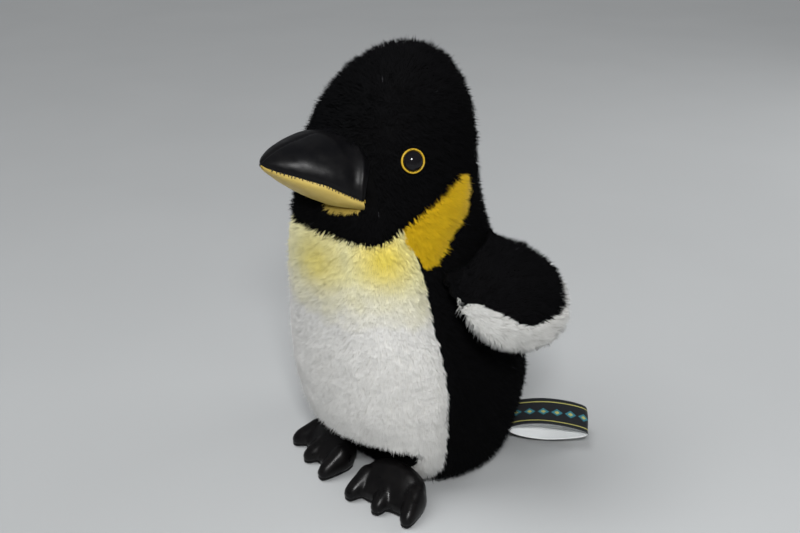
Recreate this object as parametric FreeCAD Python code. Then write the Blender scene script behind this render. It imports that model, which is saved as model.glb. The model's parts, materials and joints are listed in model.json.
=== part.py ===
import FreeCAD, Part
import math
import os

# Plush penguin, sitting upright. Millimetres, +Z up, the penguin faces -Y and its left is +X.
# The origin is the centre of the flat base, on the surface that the toy stands on.

V = FreeCAD.Vector

# ---- driving dimensions ----------------------------------------------------------------------
HEIGHT = 222.0              # base to crown
SKIN = 3.5                  # plush fabric: backing and dense pile together
BASE_THICKNESS = 3.0        # flat base panel
SEAM_GAP = 0.2              # sewn pieces stand this far apart
FILL_GAP = 0.25             # stuffing to fabric
REACH = 120.0               # longer than anything, for cutting tools

# Cross-sections of the body: height, half width, reach to the front, reach to the back.
BODY_SECTIONS = [
    (0.0, 41.0, 30.0, 43.0),
    (6.0, 50.0, 40.0, 50.5),
    (20.0, 56.5, 49.0, 57.0),
    (40.0, 61.5, 56.5, 61.5),
    (60.0, 62.5, 60.0, 61.5),
    (80.0, 60.0, 61.5, 57.5),
    (100.0, 55.0, 62.5, 51.0),
    (120.0, 49.5, 63.0, 43.5),
    (140.0, 45.0, 61.5, 36.0),
    (160.0, 41.5, 58.0, 31.5),
    (180.0, 38.0, 53.0, 30.5),
    (195.0, 33.5, 45.0, 28.5),
    (207.0, 27.0, 34.5, 24.0),
    (215.5, 18.0, 23.5, 18.5),
    (220.0, 10.0, 12.5, 11.0),
    (HEIGHT, 4.0, 5.0, 5.0),
]
CROWN_INSIDE = (217.5, 8.0, 10.0, 9.0)     # where the stuffing ends under the crown
NECK_HEIGHT = 142.0                        # head stuffing above, body stuffing below

# Seam lines, as points in the side view (y, z).
THROAT_SEAM = [(-63.0, 145.5), (-57.0, 142.5), (-51.0, 141.0), (-44.0, 142.0), (-40.8, 144.6),
               (-37.5, 148.6)]
BIB_SIDE_SEAM = [(-37.5, 148.6), (-30.5, 128.0), (-28.5, 100.0), (-25.5, 75.0),
                 (-24.0, 50.0), (-20.0, 15.0), (-19.0, 0.0)]
EAR_PATCH = [(3.5, 167.0), (-12.0, 162.0), (-28.0, 153.5), (-36.5, 146.0),
             (-32.0, 137.0), (-27.0, 129.5), (-20.0, 134.0), (-7.0, 146.0), (3.5, 156.0)]
# Yellow plush under each corner of the mouth, in the front view (x, z).
MOUTH_CORNER = [(5.5, 158.0), (9.0, 154.2), (17.0, 154.6), (23.0, 156.6), (25.5, 161.5)]

# Pocket across the front of the base, in which the feet sit (y, z).
POCKET_BACK_Y = -28.0
POCKET_ROOF = [(-54.0, 29.5), (-30.0, 26.5)]
POCKET_WALL = 3.2

# Beak: distance in front of the axis, half width, mouth height, ridge height, keel height.
BEAK_SECTIONS = [
    (42.0, 29.5, 157.5, 187.2, 151.0),
    (50.0, 28.0, 161.8, 187.8, 154.5),
    (58.0, 24.8, 166.3, 187.6, 157.2),
    (66.0, 20.0, 171.0, 186.5, 161.8),
    (74.0, 14.0, 174.6, 184.8, 167.5),
    (80.0, 8.2, 176.8, 183.0, 172.5),
    (84.5, 2.6, 179.2, 181.4, 177.8),
]
BEAK_SKIN = 1.2
RIDGE_FULLNESS = 2.1        # exponent of the arch: 2 is an ellipse, more is squarer

# Safety eyes.
EYE_HEIGHT = 178.0
EYE_ANGLE = -25.5           # round the head from +X
EYE_DIAMETER = 9.4
EYE_DOME = 4.0
EYE_SINK = 0.8
RING_OUTER = 11.6
RING_THICKNESS = 1.3
SHANK_DIAMETER = 3.2
SHANK_LENGTH = 8.5
WASHER_DIAMETER = 15.0
WASHER_THICKNESS = 1.2
WASHER_DEPTH = 5.6

# Wings: root middle, tip, and the line of the root seam.
WING_ROOT = V(48.6, -2.5, 128.2)
WING_TIP = V(99.0, 21.5, 91.8)
WING_SEAM = V(-12.0, 41.0, 12.0)
WING_GAP = 0.6              # root seam to the body
WING_LIFT = 20.0            # how far the wings can be raised, degrees
RIGHT_WING_BACK = 5.0       # the right wing is sewn on this much further back
# Along the span: distance, front edge, rear edge, thickness.
WING_SECTIONS = [
    (-9.0, -23.0, 20.0, 2.6),
    (0.0, -26.0, 22.5, 3.6),
    (7.0, -30.0, 24.5, 9.5),
    (16.0, -33.0, 28.0, 15.5),
    (25.0, -34.0, 29.0, 17.5),
    (35.0, -32.0, 27.0, 16.5),
    (43.0, -26.0, 21.0, 12.5),
    (49.0, -18.0, 13.5, 8.0),
    (52.8, -8.0, 4.5, 3.0),
]
# Edge of the black panel, seen square to the wing (span, chord): white shows outside it.
WING_BLACK_EDGE = [(-12.0, -24.5), (4.0, -24.0), (14.0, -24.5), (24.0, -22.5), (33.0, -20.5),
                   (40.0, -15.0), (44.0, -7.0), (46.5, 2.0), (47.0, 11.0), (43.0, 19.0)]
WING_SKIN = 2.6

# Feet.
FEET_SHIFT = 9.5            # the stuffed pair sits a little to the left of the middle
FOOT_SPACING = 29.5         # from the middle of the pair to the middle toe
FOOT_TURN = 13.0            # turned outward, degrees
FOOT_HEEL_Y = -33.0
FOOT_LIFT = 0.3
FOOT_SKIN = 1.4
SOLE_THICKNESS = 1.6
# Instep, forward of the heel: distance, half width, height.
INSTEP_SECTIONS = [(0.0, 13.5, 17.0), (3.5, 16.5, 21.5), (8.0, 18.0, 22.5),
                   (13.5, 17.8, 18.5), (18.0, 15.5, 12.5)]
# Toe, forward of the heel: distance, half width, height.
TOE_SECTIONS = [(7.0, 6.4, 16.0), (13.0, 6.8, 15.0), (18.5, 6.2, 12.0),
                (23.0, 5.0, 9.0), (25.5, 2.6, 6.0)]
TOE_SPREAD = [(-12.0, -8.0, -1.0), (0.0, 0.0, 1.0), (12.0, 8.0, -1.0)]   # offset, turn, extra reach

# Sewn-in loop label at the left of the back, on the base seam.
LABEL_ANGLE = 54.0          # of the root, round the base
LABEL_AIM = 42.0            # the way the loop points
LABEL_WIDTH = 20.0
LABEL_LENGTH = 47.0
LABEL_OPENING = 6.4         # half the height of the opening
LABEL_THICKNESS = 0.7
LABEL_TILT = 13.0
LABEL_ROOT_RADIUS = 55.0
LABEL_ROOT_Z = 11.3

# Pouch of plastic pellets that weights the base.
POUCH_CENTRE = V(0.0, 6.0, 20.0)
POUCH_HALF = (34.0, 28.0, 13.0)


# ---- helpers ---------------------------------------------------------------------------------
def closed_curve(points):
    """One smooth closed wire through the points."""
    curve = Part.BSplineCurve()
    curve.interpolate(Points=points, PeriodicFlag=True)
    return Part.Wire([curve.toShape()])


def loft(wires):
    return Part.makeLoft(wires, True, False)


def side_prism(outline, x_from=-REACH, x_to=REACH):
    """A prism along X whose outline is a closed wire or a list of (y, z) corners."""
    if isinstance(outline, list):
        outline = Part.makePolygon([V(x_from, y, z) for y, z in outline + outline[:1]])
    else:
        outline.translate(V(x_from, 0, 0))
    return Part.Face(outline).extrude(V(x_to - x_from, 0, 0))


def slab(axis, low, high):
    """A block between two planes square to the axis."""
    size = [2 * REACH, 2 * REACH, 4 * REACH]
    corner = [-REACH, -REACH, -REACH]
    size[axis] = high - low
    corner[axis] = low
    return Part.makeBox(size[0], size[1], size[2], V(corner[0], corner[1], corner[2]))


def mirrored(shape):
    """The same piece on the penguin's right."""
    return shape.mirror(V(0, 0, 0), V(1, 0, 0))


def frame_matrix(origin, x_axis, y_axis, z_axis):
    return FreeCAD.Matrix(
        x_axis.x, y_axis.x, z_axis.x, origin.x,
        x_axis.y, y_axis.y, z_axis.y, origin.y,
        x_axis.z, y_axis.z, z_axis.z, origin.z,
        0, 0, 0, 1)


def placed(shape, origin, x_axis, y_axis, z_axis):
    """The shape moved from the standard frame to another one."""
    copy = shape.copy()
    copy.Placement = FreeCAD.Placement(frame_matrix(origin, x_axis, y_axis, z_axis))
    return copy


def biggest(shape):
    """The main solid of a cut, without specks."""
    return max(shape.Solids, key=lambda solid: solid.Volume)


PARTS = {}


def keep(name, shape):
    PARTS[name] = shape


def keep_pair(name, left):
    keep(name + "_left", left)
    keep(name + "_right", mirrored(left))


# ---- body ------------------------------------------------------------------------------------
def body_ring(section, inset):
    z, half_width, front, back = section
    a = half_width - inset
    b = (front + back) / 2 - inset
    middle = (back - front) / 2
    count = 16
    turns = [2 * math.pi * k / count for k in range(count)]
    return closed_curve([V(a * math.cos(t), middle + b * math.sin(t), z) for t in turns])


def body_form(inset):
    """The egg-shaped body. A positive inset gives the inside of the fabric."""
    rows = list(BODY_SECTIONS)
    if inset > 1:
        low = [(x + y) / 2 for x, y in zip(rows[0], rows[1])]
        low[0] = BASE_THICKNESS + inset - SKIN
        top = (CROWN_INSIDE[0] + SKIN - inset,) + CROWN_INSIDE[1:]
        rows = [low] + rows[1:14]
        form = loft([body_ring(row, inset) for row in rows] + [body_ring(top, 0)])
    else:
        form = loft([body_ring(row, inset) for row in rows])
    return form


def pocket_outline(wall):
    """Side view of the foot pocket, grown by a wall thickness."""
    front_roof, back_roof = POCKET_ROOF
    return [(-REACH, -5.0), (-REACH, front_roof[1] + 1.5 + wall), (front_roof[0], front_roof[1] + wall),
            (back_roof[0] + wall, back_roof[1] + wall), (POCKET_BACK_Y + wall, -5.0)]


def base_outline(gap):
    """Side view of everything that the base panel takes from the skin."""
    roof = pocket_outline(POCKET_WALL - 0.2 + gap)
    top = BASE_THICKNESS + gap
    corner = roof.pop()
    return roof + [(corner[0], top), (REACH, top), (REACH, -5.0)]


def base_region(gap):
    """The floor of the toy with the wall and roof of the foot pocket, inside the plush skin."""
    floor = slab(2, -5.0, BASE_THICKNESS + gap)
    walls = body_form(SKIN - gap).common(side_prism(base_outline(gap)))
    return floor.fuse(walls)


def bib_region(gap):
    """Everything in front of the side seams and below the throat seam."""
    side_points = [V(0, y + gap, z) for y, z in BIB_SIDE_SEAM]
    side_points[0] = side_points[0] + V(0, 0, gap)
    throat_points = [V(0, y, z + gap) for y, z in THROAT_SEAM]
    throat_points[-1] = side_points[0]
    edges = []
    for points in (throat_points, side_points):
        seam = Part.BSplineCurve()
        seam.interpolate(Points=points)
        edges.append(seam.toShape())
    corners = [side_points[-1], V(0, -REACH, 0), V(0, -REACH, throat_points[0].z), throat_points[0]]
    edges += [Part.makeLine(a, b) for a, b in zip(corners, corners[1:])]
    return side_prism(Part.Wire(Part.__sortEdges__(edges)))


def spread_outline(points, gap):
    """Points moved outward from their middle by a gap."""
    mid_a = sum(p[0] for p in points) / len(points)
    mid_b = sum(p[1] for p in points) / len(points)
    moved = []
    for a, b in points:
        length = math.hypot(a - mid_a, b - mid_b)
        scale = (length + gap) / length
        moved.append((mid_a + (a - mid_a) * scale, mid_b + (b - mid_b) * scale))
    return moved


def ear_region(gap):
    wire = closed_curve([V(0, y, z) for y, z in spread_outline(EAR_PATCH, gap)])
    return side_prism(wire, 5.0, REACH)


def mouth_corner_region(gap):
    points = spread_outline(MOUTH_CORNER, gap)
    wire = Part.makePolygon([V(x, -REACH, z) for x, z in points + points[:1]])
    return Part.Face(wire).extrude(V(0, REACH - 20.0, 0))


def beak_arch(y, half_width, level, height, side):
    """Closed section of one half of the beak: an arch above (side 1) or below (side -1) the mouth."""
    count = 10
    points = []
    for k in range(count + 1):
        across = math.cos(math.pi * k / count)
        rise = max(1 - abs(across) ** RIDGE_FULLNESS, 0.0) ** (1 / RIDGE_FULLNESS)
        points.append(V(half_width * across, y, level + side * height * rise))
    arch = Part.BSplineCurve()
    arch.interpolate(Points=points)
    return Part.Wire([arch.toShape(), Part.makeLine(points[-1], points[0])])


def beak_half(side, inset):
    """Upper (side 1) or lower (side -1) half of the beak, as a solid."""
    wires = []
    for front, half_width, mouth, ridge, keel in BEAK_SECTIONS:
        level = mouth + side * (SEAM_GAP / 2 + (inset if inset else 0))
        height = (ridge - mouth) if side > 0 else (mouth - keel)
        reach = front - inset * (1 if front > 80 else 0)
        width = max(half_width - inset, 1.0)
        wires.append(beak_arch(-reach, width, level, max(height - 2 * inset, 0.8), side))
    return loft(wires)


def eye_frame(outer):
    """Seat and outward direction of the left eye on the head."""
    angle = math.radians(EYE_ANGLE)
    direction = V(math.cos(angle), math.sin(angle), 0)
    start = V(0, -12.0, EYE_HEIGHT)
    line = Part.makeLine(start, start + direction * REACH)
    seat = max((v.Point for v in outer.common(line).Vertexes), key=lambda p: (p - start).Length)
    face = min(outer.Faces, key=lambda f: f.distToShape(Part.Vertex(seat))[0])
    u, v = face.Surface.parameter(seat)
    normal = face.normalAt(u, v)
    if normal.dot(direction) < 0:
        normal = normal * -1
    normal.normalize()
    across = V(0, 0, 1).cross(normal)
    across.normalize()
    return seat - normal * EYE_SINK, across, normal.cross(across), normal


def make_eye_parts():
    """Eye dome with its shank, ring and locking washer, along +Z from the seat."""
    radius = EYE_DIAMETER / 2
    ball = (radius ** 2 + EYE_DOME ** 2) / (2 * EYE_DOME)
    dome = Part.makeSphere(ball, V(0, 0, EYE_DOME - ball)).common(
        Part.makeCylinder(radius, EYE_DOME + 1.0))
    shank = Part.makeCylinder(SHANK_DIAMETER / 2, SHANK_LENGTH, V(0, 0, -SHANK_LENGTH))
    eye = biggest(dome.fuse(shank).removeSplitter())
    ring = Part.makeCylinder(RING_OUTER / 2, RING_THICKNESS)
    ring = ring.makeChamfer(0.5, [e for e in ring.Edges if abs(e.BoundBox.ZMin - RING_THICKNESS) < 0.01])
    ring = ring.cut(Part.makeCylinder(radius + 0.1, RING_THICKNESS + 1.0))
    washer = Part.makeCylinder(WASHER_DIAMETER / 2, WASHER_THICKNESS, V(0, 0, -WASHER_DEPTH))
    washer = washer.cut(Part.makeCylinder(SHANK_DIAMETER / 2 + 0.1, REACH, V(0, 0, -REACH / 2)))
    return eye, biggest(ring), biggest(washer)


def make_body():
    outer = body_form(0.0).cut(side_prism(pocket_outline(0.0)))
    inner = body_form(SKIN).cut(side_prism(pocket_outline(POCKET_WALL)))
    shell = outer.cut(inner)

    keep("base_panel", biggest(shell.common(base_region(0.0))))
    rest = shell.cut(base_region(SEAM_GAP))

    ear = rest.common(ear_region(0.0))
    keep_pair("ear_patch", biggest(ear))
    rest = rest.cut(ear_region(SEAM_GAP)).cut(mirrored(ear_region(SEAM_GAP)))

    bib = rest.common(bib_region(0.0))
    keep("belly_panel", biggest(bib))
    rest = rest.cut(bib_region(SEAM_GAP))

    corner = rest.common(mouth_corner_region(0.0))
    keep_pair("mouth_corner", biggest(corner))
    rest = rest.cut(mouth_corner_region(SEAM_GAP))

    seat, across, upward, normal = eye_frame(outer)
    eye, ring, washer = (placed(s, seat, across, upward, normal) for s in make_eye_parts())
    keep_pair("eye", eye)
    keep_pair("eye_ring", ring)
    keep_pair("eye_washer", washer)
    socket = Part.makeCylinder(RING_OUTER / 2 + 0.15, 10.0)
    socket = socket.fuse(Part.makeCylinder(SHANK_DIAMETER / 2 + 0.1, REACH / 4, V(0, 0, -REACH / 4)))
    socket = placed(socket, seat, across, upward, normal)
    side = rest.common(slab(0, SEAM_GAP / 2, REACH)).cut(socket)
    keep_pair("side_cover", biggest(side))

    room = Part.makeCylinder(WASHER_DIAMETER / 2 + 0.4, 8.0, V(0, 0, -WASHER_DEPTH - 4.0))
    room = placed(room, seat, across, upward, normal)
    filling = body_form(SKIN + FILL_GAP).cut(side_prism(pocket_outline(POCKET_WALL + FILL_GAP)))
    head = filling.common(slab(2, NECK_HEIGHT + FILL_GAP, HEIGHT)).cut(room).cut(mirrored(room))
    head = head.cut(socket).cut(mirrored(socket))
    keep("head_filling", biggest(head))
    pouch = Part.makeSphere(1.0)
    stretch = FreeCAD.Matrix()
    stretch.scale(V(*POUCH_HALF))
    keep("pellet_pouch", pouch.transformGeometry(stretch).translated(POUCH_CENTRE))
    hollow = FreeCAD.Matrix()
    hollow.scale(V(*[half + FILL_GAP for half in POUCH_HALF]))
    hollow = pouch.transformGeometry(hollow).translated(POUCH_CENTRE)
    keep("body_filling", biggest(filling.common(slab(2, -5.0, NECK_HEIGHT)).cut(hollow)))
    return outer


def make_beak():
    face = body_form(-0.3)
    upper = beak_half(1, 0.0).cut(face)
    lower = beak_half(-1, 0.0).cut(face)
    upper_inside = beak_half(1, BEAK_SKIN).cut(face)
    lower_inside = beak_half(-1, BEAK_SKIN).cut(face)
    half = upper.cut(upper_inside).common(slab(0, SEAM_GAP / 2, REACH))
    keep_pair("beak_upper", biggest(half))
    keep("beak_lower", biggest(lower.cut(lower_inside)))
    core = beak_half(1, BEAK_SKIN + FILL_GAP).cut(face)
    keep("beak_filling", biggest(core))


# ---- wings -----------------------------------------------------------------------------------
def wing_form(inset):
    """A puffy flipper: span along +X, chord along Y, thickness along Z."""
    wires = []
    last = len(WING_SECTIONS) - 1
    for k, (span, front, rear, thickness) in enumerate(WING_SECTIONS):
        half_chord = (rear - front) / 2 - inset
        half_thickness = thickness / 2 - inset
        if half_thickness < 0.6 or half_chord < 1.5:
            continue
        middle = (rear + front) / 2
        if inset and k == last:
            continue
        count = 12
        turns = [2 * math.pi * j / count for j in range(count)]
        wires.append(closed_curve([
            V(span, middle + half_chord * math.cos(t), half_thickness * math.sin(t)) for t in turns]))
    return loft(wires)


def black_region(gap):
    """The half above the mid-plane, inside the edge of the black panel."""
    edge = Part.BSplineCurve()
    edge.interpolate(Points=[V(s, c - gap, -gap) for s, c in WING_BLACK_EDGE])
    first, last = edge.StartPoint, edge.EndPoint
    corners = [last, V(last.x, REACH, -gap), V(first.x, REACH, -gap), first]
    edges = [edge.toShape()] + [Part.makeLine(a, b) for a, b in zip(corners, corners[1:])]
    return Part.Face(Part.Wire(Part.__sortEdges__(edges))).extrude(V(0, 0, REACH))


def wing_axes():
    chord = FreeCAD.Vector(WING_SEAM)
    chord.normalize()
    span = WING_TIP - WING_ROOT
    span = span - chord * span.dot(chord)
    span.normalize()
    return span, chord, span.cross(chord)


def clear_of_body(piece, back):
    """The piece of a left wing without what would meet the body, at rest or while it is raised."""
    body = body_form(-WING_GAP).translated(V(0, -back, 0))
    for angle in (0, WING_LIFT / 2, WING_LIFT):
        turned = body.copy()
        turned.rotate(WING_ROOT, WING_SEAM, angle)
        piece = piece.cut(turned)
    return biggest(piece)


def make_wing():
    span, chord, up = wing_axes()
    shell = wing_form(0.0).cut(wing_form(WING_SKIN))
    black = biggest(shell.common(black_region(0.0)))
    white = biggest(shell.cut(black_region(SEAM_GAP)))
    filling = wing_form(WING_SKIN + FILL_GAP)
    for name, piece in (("wing_upper", black), ("wing_under", white), ("wing_filling", filling)):
        whole = placed(piece, WING_ROOT, span, chord, up)
        keep(name + "_left", clear_of_body(whole, 0.0))
        right = mirrored(clear_of_body(whole, RIGHT_WING_BACK))
        keep(name + "_right", right.translated(V(0, RIGHT_WING_BACK, 0)))


# ---- feet ------------------------------------------------------------------------------------
def foot_ring(offset, turn, distance, half_width, height, inset):
    """Cross-section of a foot or toe: a flat-bottomed arch, square to its own direction."""
    angle = math.radians(turn)
    count = 12
    points = []
    for k in range(count):
        t = 2 * math.pi * k / count
        across = (half_width - inset) * math.cos(t)
        upward = height * 0.42 + (height * 0.58 - inset) * math.sin(t)
        points.append(V(offset + across * math.cos(angle) + distance * math.sin(angle),
                        -distance * math.cos(angle) + across * math.sin(angle), upward))
    return closed_curve(points)


def foot_form(inset):
    """A stuffed foot, heel at the origin and toes towards -Y, standing on z = 0."""
    form = loft([foot_ring(0, 0, d + (inset if d == 0 else 0), w, h, inset)
                 for d, w, h in INSTEP_SECTIONS])
    for offset, turn, extra in TOE_SPREAD:
        rings = []
        for distance, half_width, height in TOE_SECTIONS:
            reach = distance * (1 + extra / TOE_SECTIONS[-1][0])
            rings.append(foot_ring(offset, turn, reach, max(half_width - inset, 0.9),
                                   max(height - inset, 2.5), 0.0))
        form = form.fuse(loft(rings))
    return form.common(slab(2, 0.0, REACH))


def foot_axes(side):
    """Origin and axes of a foot; side is 1 for the left foot and -1 for the right."""
    angle = math.radians(FOOT_TURN) * side
    forward_x = math.sin(angle)
    x_axis = V(math.cos(angle), math.sin(angle), 0)
    toe_reach = TOE_SECTIONS[-1][0]
    origin = V(FEET_SHIFT + side * FOOT_SPACING - forward_x * toe_reach, FOOT_HEEL_Y, FOOT_LIFT)
    return origin, x_axis, V(-math.sin(angle), math.cos(angle), 0), V(0, 0, 1)


def make_feet():
    outer = foot_form(0.0)
    inner = foot_form(FOOT_SKIN).common(slab(2, SOLE_THICKNESS, REACH))
    sole = biggest(outer.common(slab(2, 0.0, SOLE_THICKNESS)))
    top = biggest(outer.common(slab(2, SOLE_THICKNESS + 0.1, REACH)).cut(inner))
    core = foot_form(FOOT_SKIN + FILL_GAP).common(slab(2, SOLE_THICKNESS + FILL_GAP, REACH))
    for side, word in ((1, "left"), (-1, "right")):
        frame = foot_axes(side)
        keep("foot_sole_" + word, placed(sole, *frame))
        keep("foot_upper_" + word, placed(top, *frame))
        keep("foot_filling_" + word, placed(biggest(core), *frame))


# ---- label -----------------------------------------------------------------------------------
def leaf(start, length, half_height):
    """A closed wire, pointed at the root, open in the middle and tightly bent at the far end."""
    shares = [(0.0, 0.0), (0.18, 0.66), (0.45, 1.0), (0.72, 0.86), (0.93, 0.46), (1.0, 0.0)]
    upper = [V(start + a * length, 0, b * half_height) for a, b in shares]
    lower = [V(p.x, 0, -p.z) for p in reversed(upper[:-1])]
    bent = Part.BSplineCurve()
    bent.interpolate(Points=upper + lower)
    return Part.Wire([bent.toShape()])


def make_label():
    inner_start = 2.5
    inner_length = LABEL_LENGTH - inner_start - LABEL_THICKNESS
    band = Part.Face([leaf(0.0, LABEL_LENGTH, LABEL_OPENING),
                      leaf(inner_start, inner_length, LABEL_OPENING - LABEL_THICKNESS)])
    band.validate()
    loop = band.extrude(V(0, LABEL_WIDTH, 0))
    aim = math.radians(LABEL_AIM)
    tilt = math.radians(LABEL_TILT)
    length_axis = V(math.cos(aim), math.sin(aim), 0)
    width_axis = V(-math.sin(aim) * math.cos(tilt), math.cos(aim) * math.cos(tilt), math.sin(tilt))
    root = math.radians(LABEL_ANGLE)
    middle = V(LABEL_ROOT_RADIUS * math.cos(root), LABEL_ROOT_RADIUS * math.sin(root), LABEL_ROOT_Z)
    corner = middle - width_axis * (LABEL_WIDTH / 2)
    keep("label_loop", placed(loop, corner, length_axis, width_axis, length_axis.cross(width_axis)))


def main():
    os.makedirs("parts", exist_ok=True)
    make_body()
    make_beak()
    make_wing()
    make_feet()
    make_label()
    for name, shape in PARTS.items():
        box = shape.BoundBox
        print("%-20s %-8s valid %s volume %9.1f  x %6.1f %6.1f  y %6.1f %6.1f  z %6.1f %6.1f" % (
            name, shape.ShapeType, shape.isValid(), shape.Volume,
            box.XMin, box.XMax, box.YMin, box.YMax, box.ZMin, box.ZMax))
        shape.exportStep("parts/" + name + ".step")


main()
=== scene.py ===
"""Looks of the plush penguin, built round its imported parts. Metres, +Z up, the penguin faces -Y."""

import json
import math

import bmesh
import bpy
import numpy as np
from mathutils import Matrix, Vector
from mathutils.bvhtree import BVHTree

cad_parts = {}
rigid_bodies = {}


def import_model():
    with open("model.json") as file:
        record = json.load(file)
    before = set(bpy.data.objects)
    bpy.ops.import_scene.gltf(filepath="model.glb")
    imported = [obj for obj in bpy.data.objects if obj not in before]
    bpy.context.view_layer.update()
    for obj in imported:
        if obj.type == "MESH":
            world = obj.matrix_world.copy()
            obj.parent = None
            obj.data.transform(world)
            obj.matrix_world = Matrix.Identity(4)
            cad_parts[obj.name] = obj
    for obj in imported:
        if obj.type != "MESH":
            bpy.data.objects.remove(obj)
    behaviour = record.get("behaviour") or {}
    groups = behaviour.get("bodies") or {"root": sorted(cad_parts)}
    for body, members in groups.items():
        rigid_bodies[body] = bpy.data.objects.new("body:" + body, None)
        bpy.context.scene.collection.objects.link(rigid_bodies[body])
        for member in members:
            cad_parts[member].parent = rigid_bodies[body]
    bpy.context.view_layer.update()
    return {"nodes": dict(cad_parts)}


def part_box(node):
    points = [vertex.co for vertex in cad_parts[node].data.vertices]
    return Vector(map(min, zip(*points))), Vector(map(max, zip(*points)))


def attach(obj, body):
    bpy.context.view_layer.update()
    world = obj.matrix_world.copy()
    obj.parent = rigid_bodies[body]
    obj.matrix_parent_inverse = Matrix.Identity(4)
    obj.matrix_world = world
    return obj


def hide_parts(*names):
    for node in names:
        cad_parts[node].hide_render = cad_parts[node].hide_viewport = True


for leftover in list(bpy.data.objects):
    bpy.data.objects.remove(leftover)

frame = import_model()
NODES = frame["nodes"]
SIDES = (("left", 1.0), ("right", -1.0))

# ---- camera ----------------------------------------------------------------------------------
CAMERA_PLACE = Vector((0.3165, -0.2850, 0.2982))
CAMERA_AIM = Vector((-0.6837, 0.6037, -0.4101))

camera = bpy.data.objects.new("camera", bpy.data.cameras.new("camera"))
bpy.context.scene.collection.objects.link(camera)
camera.location = CAMERA_PLACE
camera.rotation_mode = "QUATERNION"
camera.rotation_quaternion = CAMERA_AIM.to_track_quat("-Z", "Y")
camera.data.sensor_width = 36.0
camera.data.lens = 40.5
camera.data.clip_start = 0.01
bpy.context.scene.camera = camera


# ---- materials -------------------------------------------------------------------------------
class Graph:
    """A material's nodes, made and linked in one call each."""

    def __init__(self, name):
        self.material = bpy.data.materials.new(name)
        self.material.use_nodes = True
        self.tree = self.material.node_tree
        self.shader = self.tree.nodes["Principled BSDF"]

    def feed(self, socket, value):
        if isinstance(value, bpy.types.NodeSocket):
            self.tree.links.new(value, socket)
        else:
            socket.default_value = value

    def node(self, kind, inputs=(), output=0, **settings):
        made = self.tree.nodes.new("ShaderNode" + kind)
        for key, value in settings.items():
            setattr(made, key, value)
        for key, value in dict(inputs).items():
            self.feed(made.inputs[key], value)
        return made.outputs[output]

    def math(self, operation, a, b=0.0, clamp=False):
        return self.node("Math", {0: a, 1: b}, operation=operation, use_clamp=clamp)

    def span(self, value, low, high, out_low=0.0, out_high=1.0):
        return self.node("MapRange", {"Value": value, "From Min": low, "From Max": high,
                                      "To Min": out_low, "To Max": out_high})

    def blend(self, factor, a, b, mode="MIX"):
        made = self.tree.nodes.new("ShaderNodeMix")
        made.data_type = "RGBA"
        made.blend_type = mode
        for key, value in ((0, factor), (6, a), (7, b)):
            self.feed(made.inputs[key], value)
        return made.outputs[2]

    def place(self):
        return self.node("TexCoord", output="Object")

    def noise(self, vector, scale, detail=2.0):
        return self.node("TexNoise", {"Vector": vector, "Scale": scale, "Detail": detail})

    def bump(self, height, strength, distance):
        return self.node("Bump", {"Height": height, "Strength": strength, "Distance": distance})

    def finish(self, **values):
        for key, value in values.items():
            self.feed(self.shader.inputs[key.replace("_", " ")], value)
        return self.material


def rgb(red, green, blue):
    return (red, green, blue, 1.0)


def plush(name, root, tip, uneven=1.0, lint=None, spots=(), low_tint=None):
    """Pile with painted shade: darker at its root, deep in the pile; its strands differ slightly in tone.
    """
    graph = Graph(name)
    pile = graph.node("Attribute", attribute_name="pile", output="Fac")
    shade = graph.node("Attribute", attribute_name="shade", output="Fac")
    place = graph.place()
    # Root to tip: the darker root colour is painted shade deep in the pile.
    colour = graph.blend(pile, root, tip)
    if low_tint:
        tint, low, high = low_tint
        height = graph.node("SeparateXYZ", {0: place}, output=2)
        cloudy = graph.math("MULTIPLY_ADD", graph.noise(place, 90.0), 0.02)
        graph.tree.links.new(height, cloudy.node.inputs[2])
        amount = graph.span(cloudy, low, high)
        colour = graph.blend(amount, colour, tint, "MULTIPLY")
    for centre, radius, tint in spots:
        away = graph.node("VectorMath", {0: place, 1: centre}, output="Value", operation="DISTANCE")
        colour = graph.blend(graph.span(away, radius, radius * 0.2), colour, tint, "MULTIPLY")
    mottle = graph.span(graph.noise(place, 260.0, 3.0), 0.3, 0.7, 1 - 0.14 * uneven, 1 + 0.06 * uneven)
    colour = graph.blend(1.0, colour, mottle, "MULTIPLY")
    colour = graph.blend(1.0, colour, graph.span(shade, 0.0, 1.0, 1 - 0.15 * uneven, 1 + 0.1 * uneven),
                         "MULTIPLY")
    if lint:
        colour = graph.blend(graph.math("GREATER_THAN", shade, 0.9995), colour, lint)
    return graph, colour


def black_plush():
    graph, colour = plush("black_plush", rgb(0.0008, 0.0008, 0.0010), rgb(0.0034, 0.0035, 0.0040),
                          lint=rgb(0.05, 0.05, 0.055))
    return graph.finish(Base_Color=colour, Roughness=0.8, Specular_IOR_Level=0.07)


def pale_plush(name, root, tip, sheen, **details):
    """Pile of a light colour: matt, with a faint sheen."""
    graph, colour = plush(name, root, tip, **details)
    return graph.finish(Base_Color=colour, Roughness=0.9, Specular_IOR_Level=0.2,
                        Sheen_Weight=sheen, Sheen_Roughness=0.5)


def vinyl(name, colour, worn, roughness, shine=0.42):
    """Soft glossy vinyl: a fine grain, shallow creases and slightly uneven gloss."""
    graph = Graph(name)
    place = graph.place()
    patches = graph.noise(place, 120.0, 3.0)
    base = graph.blend(graph.span(patches, 0.4, 0.75), colour, worn)
    gloss = graph.span(graph.noise(place, 240.0, 4.0), 0.3, 0.7, roughness - 0.06, roughness + 0.08)
    grain = graph.noise(place, 2600.0, 2.0)
    creases = graph.node("TexNoise", {"Vector": place, "Scale": 180.0, "Detail": 3.0, "Distortion": 0.8})
    height = graph.math("ADD", graph.math("MULTIPLY", grain, 0.10), creases)
    return graph.finish(Base_Color=base, Roughness=gloss, Normal=graph.bump(height, 0.22, 0.0005),
                        Specular_IOR_Level=shine)


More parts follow.
